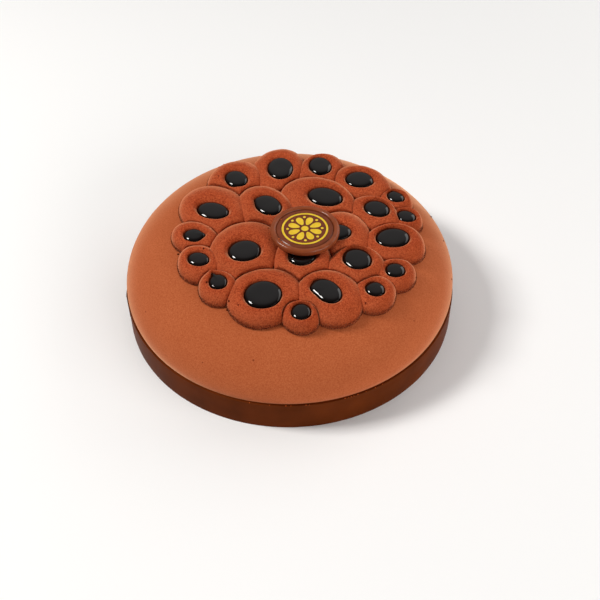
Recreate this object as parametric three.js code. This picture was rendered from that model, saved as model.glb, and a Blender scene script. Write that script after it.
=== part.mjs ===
// Round chocolate mousse cake. Millimetres, +Z up, origin on the floor under the cake's axis,
// -Y towards the front. A velvety dome stands inside a dark chocolate strip, piped mounds with a
// pool of glaze in each cover its top, and a chocolate medallion lies on the mounds.

import * as THREE from "three";

// Driving dimensions of the dome and of the core that stands inside the strip.
const domeRadius = 89.6;
const domeWaistHeight = 21.8;
const domeTopHeight = 55;
const domePlanPower = 4;
const domeRisePower = 1.9;
const waistTurns = [36, 66];
const coreRadius = 88.6;
const coreChamfer = 0.6;

// The chocolate strip around the foot, and its lapped end at the left.
const stripHeight = 17.6;
const stripThickness = 1.3;
const stripLapAngle = 187;
const stripLapLength = 9;
const stripLapThickness = 0.6;
const stripLapStep = 0.35;

// What every mound shares: heights over the dome, or over the level of its glaze.
const glazeRise = 4.7;
const levelTilt = 0.08;
const lipHeight = 0.15;
const crestHeight = 1.8;
const crestPlace = 0.34;
const flankPower = 1.6;
const footShare = 0.3;
const footTuck = 0.12;
const wellDepth = 2.3;
const collarWidth = 0.9;
const frontLead = 0.15;
const rimShares = [0.34, 0.65, 0.88, 1];

// The bead of glaze: its height in the middle, how soon it gets there, and its steep edge.
const beadHeight = 1.7;
const beadRound = 1.6;
const beadEdgeHeight = 0.45;
const beadEdgePower = 22;
const beadShares = [0.65, 0.94];

// The medallion.
const medallionRadius = 17.9;
const medallionThickness = 2.9;
const medallionRimWidth = 3;
const medallionRecess = 0.7;
const medallionGroove = 0.42;
const medallionGrooveWidth = 1;
const medallionEdge = 0.5;
const medallionPlace = [8.1, -12.8, 62.05];
const medallionTilt = 2;

// Gap between pieces that touch, and the room that each mound leaves its neighbour.
const gap = 0.3;
const creaseRoom = 0.25;
const creaseStep = 0.2;
const slopeStep = 0.5;

// Steps of the round shapes.
const bodySteps = 56;
const domeSteps = 9;
const moundSteps = 22;
const glazeSteps = 18;
const smallGlazeSteps = 14;
const smallPool = 6;
const medallionSteps = 36;
const medallionRimSteps = 4;

// Each row is one piped mound: the centre, half length, half width and turn in degrees of its
// pool of glaze, then the same five values of its own outline, before its neighbours press it.
// Some pools lie sunk by so many millimetres below the level of the others, some crests are lower,
// and a pool can bulge: the direction and the width in degrees, then how far.
// A mound nearer the front keeps its shape and presses into those behind it, one of them more.
const outerMounds = [
  { pool: [-28.2, 36.4, 7.2, 6.0, -62], pad: [-29.0, 39.2, 15.6, 17.3, -17] },
  { pool: [-3.8, 44.5, 9.4, 7.1, 90], pad: [-5.3, 48.3, 14.9, 19.7, -17], crest: -0.6 },
  { pool: [18.5, 46.6, 7.7, 6.3, -83], pad: [18.9, 46.0, 12.7, 15.9, -37], crest: -0.6 },
  { pool: [39.5, 34.2, 7.6, 6.9, -4], pad: [41.6, 34.7, 17.3, 14.1, -41], bulges: [[-22, 15, 0.6]] },
  { pool: [58.7, 21.5, 5.1, 4.2, -44], pad: [58.5, 20.0, 8.1, 9.9, -72], bulges: [[100, 14, 0.5]] },
  { pool: [62.9, 5.6, 5.3, 4.7, -35], pad: [62.2, 5.7, 10.1, 7.6, 12] },
  { pool: [54.0, -12.2, 9.0, 7.4, 12], pad: [55.2, -13.5, 16.3, 12.9, 7], sunk: 0.5 },
  { pool: [53.4, -34.5, 5.0, 5.0, -17], pad: [52.3, -34.7, 12.7, 9.0, 22] },
  { pool: [42.1, -47.4, 5.2, 4.7, -50], pad: [41.7, -47.5, 12.2, 9.3, 34], bulges: [[130, 30, -0.3]] },
  {
    pool: [17.8, -50.0, 9.0, 6.6, -54],
    pad: [19.4, -50.2, 17.2, 15.7, -36], bulges: [[170, 18, 0.8], [-145, 30, -0.6]],
  },
  { pool: [4.9, -62.0, 5.4, 4.9, 74], pad: [4.3, -62.1, 9.6, 7.6, -11], ahead: 3 },
  { pool: [-13.6, -51.5, 9.5, 9.2, 39], pad: [-13.0, -49.0, 19.1, 16.9, 15] },
  { pool: [-36.0, -41.8, 5.2, 4.6, -85], pad: [-36.2, -42.5, 9.2, 10.8, 49], bulges: [[118, 10, 2.0]] },
  { pool: [-46.5, -25.6, 5.7, 4.9, -28], pad: [-46.3, -25.4, 10.6, 13.1, 36] },
  { pool: [-49.8, -8.1, 5.2, 4.8, -15], pad: [-49.5, -6.5, 14.0, 10.3, -37], bulges: [[0, 18, 1.1]] },
  { pool: [-40.3, 10.7, 8.9, 6.7, -24], pad: [-40.7, 14.8, 21.4, 17.4, 124], sunk: 0.9 },
];
const innerMounds = [
  { pool: [-10.7, 12.4, 8.6, 6.6, -57], pad: [-12.2, 13.0, 14.2, 19.4, 27], bulges: [[146, 15, 0.7]] },
  { pool: [20.1, 19.1, 9.8, 7.4, -23], pad: [16.1, 18.5, 22.3, 18.1, -42], sunk: 0.7 },
  { pool: [47.3, 9.4, 7.2, 6.3, -40], pad: [46.0, 7.9, 15.4, 11.2, -42], sunk: 0.4 },
  { pool: [25.0, -9.8, 7.5, 5.8, 0], pad: [27.8, -8.8, 14.9, 17.9, 2] },
  {
    pool: [34.3, -28.9, 7.8, 7.3, -63],
    pad: [33.5, -31.3, 15.2, 11.3, 10], sunk: 0.6, bulges: [[-140, 25, -0.4]],
  },
  { pool: [6.3, -26.7, 7.4, 6.9, 49], pad: [6.4, -26.0, 15.0, 17.1, -2] },
  { pool: [-23.0, -21.3, 8.5, 7.9, 15], pad: [-22.6, -18.1, 18.9, 21.4, -21], sunk: 0.9 },
];

const velvetOfDome = { color: "#c06d46", roughness: 0.9, metalness: 0 };
const velvetOfMounds = { color: "#a84a29", roughness: 0.9, metalness: 0 };
const darkGlaze = { color: "#1d1614", roughness: 0.12, metalness: 0 };
const darkChocolate = { color: "#4f220f", roughness: 0.4, metalness: 0 };
const milkChocolate = { color: "#8b4e36", roughness: 0.35, metalness: 0 };

const cake = new THREE.Group();

function addPiece(name, geometry, look) {
  const mesh = new THREE.Mesh(geometry, new THREE.MeshStandardMaterial(look));
  mesh.name = name;
  cake.add(mesh);
  return mesh;
}

// Height of the dome over the floor, at a distance from the axis.
function domeHeightAt(reach) {
  const share = Math.min(reach / domeRadius, 1) ** domePlanPower;
  return domeWaistHeight + (domeTopHeight - domeWaistHeight) * (1 - share) ** (1 / domeRisePower);
}

function domeHeight(x, y) {
  return domeHeightAt(Math.hypot(x, y));
}

// Distance from a start inside an ellipse to its outline, in one direction.
function reachToOutline(start, outline, angle) {
  const [centreX, centreY, halfLength, halfWidth, turn] = outline;
  const cos = Math.cos(THREE.MathUtils.degToRad(turn));
  const sin = Math.sin(THREE.MathUtils.degToRad(turn));
  const fromX = start[0] - centreX;
  const fromY = start[1] - centreY;
  const alongX = Math.cos(angle);
  const alongY = Math.sin(angle);
  const px = (fromX * cos + fromY * sin) / halfLength;
  const py = (fromY * cos - fromX * sin) / halfWidth;
  const vx = (alongX * cos + alongY * sin) / halfLength;
  const vy = (alongY * cos - alongX * sin) / halfWidth;
  const a = vx * vx + vy * vy;
  const b = px * vx + py * vy;
  const c = px * px + py * py - 1;
  return (Math.sqrt(b * b - a * c) - b) / a;
}

// Distance from the middle of a pool to its brim: an ellipse with the pool's own bulges.
function reachToBrim(mound, angle) {
  let reach = reachToOutline(mound.pool, mound.pool, angle);
  for (const [place, width, amount] of mound.bulges ?? []) {
    const turn = THREE.MathUtils.radToDeg(angle) - place;
    const away = THREE.MathUtils.euclideanModulo(turn + 180, 360) - 180;
    reach += amount * Math.exp(-((away / width) ** 2));
  }
  return reach;
}

// The glaze starts from a plane that leans a little as the dome below it does.
function glazeLevel(mound, x, y) {
  const reach = Math.hypot(mound.pool[0], mound.pool[1]);
  const fall = domeHeightAt(reach + slopeStep) - domeHeightAt(reach - slopeStep);
  const slope = fall / (2 * slopeStep);
  const [poolX, poolY] = mound.pool;
  const outwards = (poolX * (x - poolX) + poolY * (y - poolY)) / reach;
  return domeHeightAt(reach) + glazeRise - (mound.sunk ?? 0) + levelTilt * slope * outwards;
}

// Top of one mound's rim and flank, as it stands before its neighbours press it.
function moundTop(mound, x, y) {
  const angle = Math.atan2(y - mound.pool[1], x - mound.pool[0]);
  const reach = Math.hypot(y - mound.pool[1], x - mound.pool[0]);
  const inner = reachToBrim(mound, angle);
  const outer = reachToOutline(mound.pool, mound.pad, angle);
  const crest = crestHeight + (mound.sunk ?? 0) + (mound.crest ?? 0);
  const place = THREE.MathUtils.clamp((reach - inner) / (outer - inner), 0, 1);
  const level = glazeLevel(mound, x, y);
  if (place < crestPlace) {
    const climb = 1 - (1 - place / crestPlace) ** 2;
    return level + lipHeight + (crest - lipHeight) * climb;
  }
  const base = domeHeight(x, y);
  const foot = base + footShare * (level + crest - base);
  const fall = (place - crestPlace) / (1 - crestPlace);
  return foot + (level + crest - foot) * Math.sqrt(1 - fall ** flankPower);
}

// How a mound stands against its neighbours at one place: its height over the dome and its lead,
// without limit over its pool and collar and not at all outside its outline.
function standing(mound, x, y) {
  const angle = Math.atan2(y - mound.pool[1], x - mound.pool[0]);
  const reach = Math.hypot(y - mound.pool[1], x - mound.pool[0]);
  if (reach < reachToBrim(mound, angle) + collarWidth) {
    return Infinity;
  }
  if (reach > reachToOutline(mound.pool, mound.pad, angle)) {
    return -Infinity;
  }
  const lead = (mound.ahead ?? 0) - frontLead * mound.pool[1];
  return moundTop(mound, x, y) - domeHeight(x, y) + lead;
}

// Distance from the middle of the pool to the crease with a higher neighbour, if there is one.
function reachToCrease(mound, mounds, angle) {
  const others = mounds.filter((other) => other !== mound);
  const inner = reachToBrim(mound, angle);
  const outer = reachToOutline(mound.pool, mound.pad, angle);
  for (let reach = inner + collarWidth; reach < outer; reach += creaseStep) {
    const x = mound.pool[0] + reach * Math.cos(angle);
    const y = mound.pool[1] + reach * Math.sin(angle);
    const own = standing(mound, x, y);
    if (others.some((other) => standing(other, x, y) > own)) {
      return reach - creaseRoom;
    }
  }
  return Infinity;
}

// The mound's edge in one direction: its own outline, or the nearest crease around there.
function reachToEdge(mound, mounds, angle) {
  const beside = Math.PI / moundSteps;
  const around = [-beside, -beside / 2, 0, beside / 2, beside];
  const creases = around.map((turn) => reachToCrease(mound, mounds, angle + turn));
  return Math.min(reachToOutline(mound.pool, mound.pad, angle), ...creases);
}

// One closed body from rings of points that run from a pole on top to a pole below.
function closedBody(topPole, rings, bottomPole) {
  const steps = rings[0].length;
  const points = [topPole, ...rings.flat(), bottomPole];
  const last = points.length - 1;
  const faces = [];
  for (let i = 0; i < steps; i += 1) {
    const next = (i + 1) % steps;
    faces.push(0, 1 + i, 1 + next);
    for (let ring = 0; ring < rings.length - 1; ring += 1) {
      const high = 1 + ring * steps;
      const low = high + steps;
      faces.push(high + i, low + i, low + next);
      faces.push(high + i, low + next, high + next);
    }
    faces.push(last, last - steps + next, last - steps + i);
  }
  const geometry = new THREE.BufferGeometry().setFromPoints(points);
  geometry.setIndex(faces);
  geometry.computeVertexNormals();
  return geometry;
}

// A ring of points around a mound's pool, from a reach and a height in each direction.
function ringAround(mound, steps, reachAt, heightAt) {
  return Array.from({ length: steps }, (unused, i) => {
    const angle = (i / steps) * 2 * Math.PI;
    const reach = reachAt(angle, i);
    const x = mound.pool[0] + reach * Math.cos(angle);
    const y = mound.pool[1] + reach * Math.sin(angle);
    return new THREE.Vector3(x, y, heightAt(x, y));
  });
}

function moundGeometry(mound, mounds) {
  const inner = [];
  const edge = [];
  for (let i = 0; i < moundSteps; i += 1) {
    const angle = (i / moundSteps) * 2 * Math.PI;
    inner.push(reachToBrim(mound, angle) + gap);
    edge.push(reachToEdge(mound, mounds, angle));
  }
  const onDome = (x, y) => domeHeight(x, y) + gap;
  const onFloor = (x, y) => glazeLevel(mound, x, y) - wellDepth;
  const onRim = (x, y) => Math.max(moundTop(mound, x, y), onDome(x, y) + gap);
  const ring = (reachAt, heightAt) => ringAround(mound, moundSteps, reachAt, heightAt);
  const across = (share) => (angle, i) => inner[i] + share * (edge[i] - inner[i]);
  const rings = [
    ring(across(0), onFloor),
    ring(across(0), onRim),
    ...rimShares.map((share) => ring(across(share), onRim)),
    ring(across(1 - footTuck), onDome),
    ring((angle, i) => edge[i] / 2, onDome),
  ];
  const [x, y] = mound.pool;
  const topPole = new THREE.Vector3(x, y, onFloor(x, y));
  return closedBody(topPole, rings, new THREE.Vector3(x, y, onDome(x, y)));
}

function glazeGeometry(mound) {
  const steps = mound.pool[2] < smallPool ? smallGlazeSteps : glazeSteps;
  const bottom = gap - wellDepth;
  const over = (height) => (x, y) => glazeLevel(mound, x, y) + height;
  const beadAt = (share, brim) => {
    const fall = Math.cosh((share * brim) / beadRound) / Math.cosh(brim / beadRound);
    return beadEdgeHeight * Math.sqrt(1 - share ** beadEdgePower) + beadHeight * (1 - fall);
  };
  const width = (mound.pool[2] + mound.pool[3]) / 2;
  const ring = (share, height) => {
    return ringAround(mound, steps, (angle) => share * reachToBrim(mound, angle), over(height));
  };
  const rings = [...beadShares.map((share) => ring(share, beadAt(share, width))), ring(1, 0), ring(1, bottom)];
  const [x, y] = mound.pool;
  const topPole = new THREE.Vector3(x, y, over(beadAt(0, width))(x, y));
  return closedBody(topPole, rings, new THREE.Vector3(x, y, over(bottom)(x, y)));
}

// A profile of [radius, height] pairs turned about the Z axis.
function turned(profile, steps) {
  const geometry = new THREE.LatheGeometry(profile.map(([r, z]) => new THREE.Vector2(r, z)), steps);
  return geometry.rotateX(Math.PI / 2);
}

function cakeGeometry() {
  const profile = [
    [0, 0],
    [coreRadius - coreChamfer, 0],
    [coreRadius, coreChamfer],
    [coreRadius, stripHeight + gap],
  ];
  const bulge = domeRadius - coreRadius;
  const hang = domeWaistHeight - stripHeight - gap;
  for (const turn of waistTurns) {
    const angle = THREE.MathUtils.degToRad(turn);
    profile.push([coreRadius + bulge * Math.sin(angle), domeWaistHeight - hang * Math.cos(angle)]);
  }
  for (let i = 0; i < domeSteps; i += 1) {
    const angle = (1 - i / domeSteps) * (Math.PI / 2);
    const reach = domeRadius * Math.sin(angle) ** (2 / domePlanPower);
    profile.push([reach, domeHeightAt(reach)]);
  }
  profile.push([0, domeTopHeight]);
  return turned(profile, bodySteps);
}

// The strip is a ring whose outside thickens towards the lapped end and steps back behind it.
function stripGeometry() {
  const inside = coreRadius + gap;
  const lapAngle = THREE.MathUtils.degToRad(stripLapAngle);
  const lapSweep = stripLapLength / domeRadius;
  const angles = Array.from({ length: bodySteps }, (unused, i) => (i / bodySteps) * 2 * Math.PI);
  const stepSweep = stripLapStep / domeRadius;
  angles.push(lapAngle - lapSweep, lapAngle - stepSweep, lapAngle);
  angles.sort((first, second) => first - second);
  const outside = (angle) => {
    const before = (lapAngle - angle) / lapSweep;
    const lap = lapAngle - angle > stepSweep / 2 && before < 1 ? 1 - before : 0;
    return inside + stripThickness + stripLapThickness * lap;
  };
  const corner = (reach, angle, height) => [reach * Math.cos(angle), reach * Math.sin(angle), height];
  const points = angles.flatMap((angle) => [
    corner(inside, angle, 0),
    corner(outside(angle), angle, 0),
    corner(outside(angle), angle, stripHeight),
    corner(inside, angle, stripHeight),
  ]);
  const faces = [];
  for (let i = 0; i < angles.length; i += 1) {
    const here = 4 * i;
    const there = 4 * ((i + 1) % angles.length);
    for (let side = 0; side < 4; side += 1) {
      const next = (side + 1) % 4;
      faces.push(here + side, there + side, there + next);
      faces.push(here + side, there + next, here + next);
    }
  }
  const geometry = new THREE.BufferGeometry();
  geometry.setAttribute("position", new THREE.Float32BufferAttribute(points.flat(), 3));
  geometry.setIndex(faces);
  geometry.computeVertexNormals();
  return geometry;
}

// A flat disc inside a groove, and a round rim outside it.
function medallionGeometry() {
  const floor = medallionThickness - medallionRecess;
  const groove = floor - medallionGroove;
  const profile = [
    [0, 0],
    [medallionRadius - medallionEdge, 0],
    [medallionRadius, medallionEdge],
  ];
  for (let i = 0; i <= medallionRimSteps; i += 1) {
    const angle = (i / medallionRimSteps) * Math.PI;
    const reach = medallionRadius + (medallionRimWidth / 2) * (Math.cos(angle) - 1);
    profile.push([reach, groove + (medallionThickness - groove) * Math.sin(angle)]);
  }
  profile.push([medallionRadius - medallionRimWidth - medallionGrooveWidth, floor], [0, floor]);
  return turned(profile, medallionSteps);
}

addPiece("mousse_cake", cakeGeometry(), velvetOfDome);
addPiece("chocolate_strip", stripGeometry(), darkChocolate);

const allMounds = [...outerMounds, ...innerMounds];

function addMounds(row, mounds) {
  mounds.forEach((mound, i) => {
    const label = `${row}_${String(i + 1).padStart(2, "0")}`;
    addPiece(`mound_${label}`, moundGeometry(mound, allMounds), velvetOfMounds);
    addPiece(`glaze_${label}`, glazeGeometry(mound), darkGlaze);
  });
}

addMounds("outer", outerMounds);
addMounds("inner", innerMounds);

const medallion = addPiece("chocolate_medallion", medallionGeometry(), milkChocolate);
medallion.position.set(...medallionPlace);
medallion.rotation.x = THREE.MathUtils.degToRad(-medallionTilt);

export default cake;
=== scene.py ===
import math

import bpy
import numpy as np
from mathutils import Matrix, Vector, noise


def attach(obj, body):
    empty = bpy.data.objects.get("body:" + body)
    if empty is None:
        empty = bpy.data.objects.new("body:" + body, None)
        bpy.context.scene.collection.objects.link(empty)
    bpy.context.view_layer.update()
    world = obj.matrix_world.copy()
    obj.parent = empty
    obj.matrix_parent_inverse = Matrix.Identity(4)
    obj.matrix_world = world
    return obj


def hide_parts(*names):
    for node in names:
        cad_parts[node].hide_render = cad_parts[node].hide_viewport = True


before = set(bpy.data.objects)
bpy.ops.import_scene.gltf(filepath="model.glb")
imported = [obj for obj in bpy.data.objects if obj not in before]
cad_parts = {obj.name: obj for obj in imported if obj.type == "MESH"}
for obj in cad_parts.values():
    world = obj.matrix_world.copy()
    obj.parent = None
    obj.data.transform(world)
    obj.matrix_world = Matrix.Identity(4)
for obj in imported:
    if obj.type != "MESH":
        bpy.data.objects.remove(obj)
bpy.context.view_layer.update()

millimetre = 0.001
scene = bpy.context.scene


# small helpers that every piece uses
def linear(red, green, blue):
    # a screen colour from 0 to 255 as the linear colour that a shader takes
    shares = [value / 255 for value in (red, green, blue)]
    return tuple(s / 12.92 if s <= 0.04045 else ((s + 0.055) / 1.055) ** 2.4 for s in shares) + (1.0,)


def meshPiece(name, points, faces, material=None):
    # points are in millimetres, the mesh is in metres
    mesh = bpy.data.meshes.new(name)
    mesh.from_pydata([tuple(p) for p in np.asarray(points) * millimetre], [], [tuple(f) for f in faces])
    mesh.update()
    piece = bpy.data.objects.new(name, mesh)
    scene.collection.objects.link(piece)
    if material:
        mesh.materials.append(material)
    return piece


def shadeSmooth(piece, sharpDegrees):
    mesh = piece.data
    mesh.shade_smooth()
    mesh.set_sharp_from_angle(angle=math.radians(sharpDegrees))


def bodyFromRings(topPole, rings, bottomPole):
    # one closed body: rings of points that run from a pole on top to a pole below
    steps = len(rings[0])
    points = np.vstack([[topPole], *rings, [bottomPole]])
    last = len(points) - 1
    faces = []
    for i in range(steps):
        after = (i + 1) % steps
        faces.append((0, 1 + i, 1 + after))
        for ring in range(len(rings) - 1):
            high = 1 + ring * steps
            low = high + steps
            faces.append((high + i, low + i, low + after, high + after))
        faces.append((last, last - steps + after, last - steps + i))
    return points, faces


def joined(parts):
    points, faces, count = [], [], 0
    for partPoints, partFaces in parts:
        points.append(np.asarray(partPoints))
        faces.extend([tuple(index + count for index in face) for face in partFaces])
        count += len(partPoints)
    return np.vstack(points), faces


def anglesAround(steps):
    return np.arange(steps) / steps * 2 * math.pi


def ringAt(reach, height, angles):
    x, y = reach * np.cos(angles), reach * np.sin(angles)
    return np.stack([x, y, np.broadcast_to(height, x.shape)], axis=1)


def turnedBody(profile, steps):
    # profile of (radius, height) from the middle of the top, outside and down, to the middle below
    rings = [ringAt(radius, height, anglesAround(steps)) for radius, height in profile[1:-1]]
    return bodyFromRings((0, 0, profile[0][1]), rings, (0, 0, profile[-1][1]))


def bandFromRings(rings):
    # a closed band round the Z axis: the last ring joins the first
    steps = len(rings[0])
    faces = []
    for ring in range(len(rings)):
        low, high = ring * steps, (ring + 1) % len(rings) * steps
        for i in range(steps):
            after = (i + 1) % steps
            faces.append((low + i, low + after, high + after, high + i))
    return np.vstack(rings), faces


def finishPiece(piece, slot, *nodes):
    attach(piece, "root")
    if nodes:
        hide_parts(*nodes)
    print("made", piece.name, len(piece.data.vertices), "points")


# helpers for node trees
def fillSocket(tree, socket, value):
    # a socket takes another node's output or a plain value
    if isinstance(value, bpy.types.NodeSocket):
        tree.links.new(value, socket)
    else:
        socket.default_value = value


def fillInputs(tree, node, values):
    for label, value in values.items():
        fillSocket(tree, node.inputs[label], value)


def addNode(tree, kind, inputs=None, **settings):
    node = tree.nodes.new(kind)
    for key, value in settings.items():
        setattr(node, key, value)
    fillInputs(tree, node, inputs or {})
    return node


def mathNode(tree, operation, *values):
    return addNode(tree, "ShaderNodeMath", dict(enumerate(values)), operation=operation).outputs[0]


def easedNode(tree, value, start, end, top, bottom=0.0):
    # a soft step: from the bottom, where the value is at its start, to the top, where it is at its end
    inputs = {"Value": value, "From Min": start, "From Max": end, "To Min": bottom, "To Max": top}
    return addNode(tree, "ShaderNodeMapRange", inputs, interpolation_type="SMOOTHSTEP").outputs["Result"]


def noiseNode(tree, vector, scale, detail, roughness=0.5):
    inputs = {"Vector": vector, "Scale": scale, "Detail": detail, "Roughness": roughness}
    return addNode(tree, "ShaderNodeTexNoise", inputs).outputs["Fac"]


def attributeNode(tree, label):
    return addNode(tree, "ShaderNodeAttribute", attribute_name=label).outputs["Fac"]


def axesNode(tree, vector):
    return addNode(tree, "ShaderNodeSeparateXYZ", {0: vector}).outputs


def newGroup(name, kind, inputs, outputs):
    tree = bpy.data.node_groups.new(name, kind)
    for label, socketType, value in inputs:
        socket = tree.interface.new_socket(label, in_out="INPUT", socket_type=socketType)
        if value is not None:
            socket.default_value = value
    for label, socketType in outputs:
        tree.interface.new_socket(label, in_out="OUTPUT", socket_type=socketType)
    return tree, addNode(tree, "NodeGroupInput"), addNode(tree, "NodeGroupOutput")


def endTree(tree, geometry, take, give):
    real = addNode(tree, "GeometryNodeRealizeInstances", {0: geometry})
    inputs = {"Geometry": real.outputs[0], "Material": take.outputs["Velvet"]}
    finish = addNode(tree, "GeometryNodeSetMaterial", inputs)
    fillInputs(tree, give, {"Geometry": finish.outputs[0]})


def setInputs(modifier, values):
    # modifier inputs go by the identifier of their socket
    for item in modifier.node_group.interface.items_tree:
        if item.item_type == "SOCKET" and item.in_out == "INPUT" and item.name in values:
            modifier[item.identifier] = values[item.name]


def madeByNodes(name, tree, values, host=None):
    # runs a geometry tree on a host mesh and keeps its result as a plain mesh
    start = host or bpy.data.objects.new(name + "_host", bpy.data.meshes.new(name + "_host"))
    if not host:
        scene.collection.objects.link(start)
    modifier = start.modifiers.new("shape", "NODES")
    modifier.node_group = tree
    setInputs(modifier, values)
    evaluated = start.evaluated_get(bpy.context.evaluated_depsgraph_get())
    mesh = bpy.data.meshes.new_from_object(evaluated)
    mesh.name = name
    start.modifiers.remove(modifier)
    piece = bpy.data.objects.new(name, mesh)
    scene.collection.objects.link(piece)
    if not host:
        bpy.data.objects.remove(start)
    return piece


# helpers for materials
def newMaterial(name):
    material = bpy.data.materials.new(name)
    material.use_nodes = True
    tree = material.node_tree
    shader = next(node for node in tree.nodes if node.type == "BSDF_PRINCIPLED")
    return material, tree, shader


def ramp(tree, factor, stops):
    node = addNode(tree, "ShaderNodeValToRGB")
    elements = node.color_ramp.elements
    while len(elements) < len(stops):
        elements.new(0.5)
    for element, (position, colour) in zip(elements, stops):
        element.position = position
        element.color = colour
    tree.links.new(factor, node.inputs["Fac"])
    return node.outputs["Color"]


def mixColours(tree, factor, first, second, blend="MIX"):
    inputs = {0: factor, 6: first, 7: second}
    return addNode(tree, "ShaderNodeMix", inputs, data_type="RGBA", blend_type=blend).outputs[2]


def multiplied(tree, factor, colour, tint):
    # a colour times a tint, as far as the factor says
    return mixColours(tree, factor, colour, mixColours(tree, 1.0, colour, tint, "MULTIPLY"))


def bumpNode(tree, height, strength, depth):
    inputs = {"Strength": strength, "Distance": depth, "Height": height}
    return addNode(tree, "ShaderNodeBump", inputs).outputs["Normal"]


velvetValues = {
    "speckSize": 0.085,
    "speckRarity": 0.86,
    # painted shade: the way that faces away from the key light, and the tints of the shaded sides and the
    # feet
    "facingAwayFromKey": (0.95, -0.3, 0.0),
    "shadeSideTint": (0.86, 0.74, 0.6, 1.0),
    "footShadeTint": (0.76, 0.72, 0.66, 1.0),
    "white": (1.0, 1.0, 1.0, 1.0),
    "roughness": 0.92,
    "specular": 0.12,
}


def velvetGroup():
    # sprayed cocoa butter: a fine grain, coarser droplets, soft patches of tone and a few dark specks
    tree, take, give = newGroup("cocoaVelvet", "ShaderNodeTree", [
        ("Vector", "NodeSocketVector", None),
        ("Grain Scale", "NodeSocketFloat", 1900.0),
        ("Droplet Scale", "NodeSocketFloat", 1100.0),
        ("Patch Scale", "NodeSocketFloat", 60.0),
        ("Speck Scale", "NodeSocketFloat", 160.0),
    ], [
        ("Height", "NodeSocketFloat"),
        ("Tone", "NodeSocketFloat"),
        ("Patches", "NodeSocketFloat"),
        ("Specks", "NodeSocketFloat"),
    ])

    def noiseOf(scaleName, detail, roughness):
        return noiseNode(tree, take.outputs["Vector"], take.outputs[scaleName], detail, roughness)

    grain = noiseOf("Grain Scale", 2.0, 0.6)
    droplets = noiseOf("Droplet Scale", 3.0, 0.65)
    inputs = {"Vector": take.outputs["Vector"], "Scale": take.outputs["Speck Scale"]}
    cells = addNode(tree, "ShaderNodeTexVoronoi", inputs)
    near = mathNode(tree, "LESS_THAN", cells.outputs["Distance"], velvetValues["speckSize"])
    shade = addNode(tree, "ShaderNodeSeparateColor", {"Color": cells.outputs["Color"]})
    chosen = mathNode(tree, "GREATER_THAN", shade.outputs["Red"], velvetValues["speckRarity"])
    fillInputs(tree, give, {
        "Height": mathNode(tree, "MULTIPLY_ADD", droplets, 0.7, mathNode(tree, "MULTIPLY", grain, 0.5)),
        "Tone": mathNode(tree, "MULTIPLY_ADD", grain, 0.6, mathNode(tree, "MULTIPLY", droplets, 0.4)),
        "Patches": noiseOf("Patch Scale", 3.0, 0.55),
        "Specks": mathNode(tree, "MULTIPLY", near, chosen),
    })
    return tree


cocoaVelvet = velvetGroup()


def velvetMaterial(name, values):
    material, tree, shader = newMaterial(name)
    places = addNode(tree, "ShaderNodeTexCoord").outputs
    velvet = addNode(tree, "ShaderNodeGroup", {"Vector": places["Object"]}, node_tree=cocoaVelvet)
    tones = [(0.36, values["dark"]), (0.5, values["middle"]), (0.66, values["pale"])]
    colour = ramp(tree, velvet.outputs["Tone"], tones)
    patches = mathNode(tree, "MULTIPLY", velvet.outputs["Patches"], values["patchShare"])
    colour = mixColours(tree, patches, colour, values["patch"])
    # painted sheen: the colour turns paler down the flanks of the mounds
    flank = attributeNode(tree, "flank")
    colour = mixColours(tree, easedNode(tree, flank, 0.3, 1.0, values["flankSheenShare"]), colour, values["flank"])
    # painted shade: the sides that face away from the key light at the left are darker and redder
    inputs = {0: places["Normal"], 1: velvetValues["facingAwayFromKey"]}
    awayFromKey = addNode(tree, "ShaderNodeVectorMath", inputs, operation="DOT_PRODUCT").outputs["Value"]
    shadedSide = easedNode(tree, awayFromKey, 0.15, 0.85, values["paintedShadeShare"])
    colour = multiplied(tree, shadedSide, colour, velvetValues["shadeSideTint"])
    # painted shade: the steep feet of the mounds, where the light is shut out, are darker
    foot = easedNode(tree, axesNode(tree, places["Normal"])["Z"], 0.55, 0.0, values["paintedShadeShare"])
    colour = multiplied(tree, foot, colour, velvetValues["footShadeTint"])
    # painted sheen: the colour turns paler where the surface turns away from the camera, where the ends of
    # the fibres catch the light
    turned = addNode(tree, "ShaderNodeLayerWeight", {"Blend": 0.5})
    edge = easedNode(tree, turned.outputs["Facing"], 0.5, 0.95, values["rimSheenShare"])
    colour = mixColours(tree, edge, colour, values["rim"])
    # painted contact shadow: a dark line where a mound tucks under onto the dome
    colour = mixColours(tree, easedNode(tree, flank, 1.0, 1.4, values["contactShadowShare"]), colour, values["speckAndContactShadow"])
    # the pits between the droplets are darker
    pits = ramp(tree, velvet.outputs["Height"], [(0.5, values["pit"]), (0.64, velvetValues["white"])])
    colour = mixColours(tree, 1.0, colour, pits, "MULTIPLY")
    specks = mathNode(tree, "MULTIPLY", velvet.outputs["Specks"], values["speckShare"])
    fillInputs(tree, shader, {
        "Base Color": mixColours(tree, specks, colour, values["speckAndContactShadow"]),
        "Normal": bumpNode(tree, velvet.outputs["Height"], values["bumpStrength"], values["bumpDepth"]),
        "Roughness": velvetValues["roughness"],
        "Specular IOR Level": velvetValues["specular"],
        "Sheen Weight": values["sheen"],
        "Sheen Roughness": values["sheenRoughness"],
        "Sheen Tint": values["sheenTint"],
    })
    return material


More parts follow.
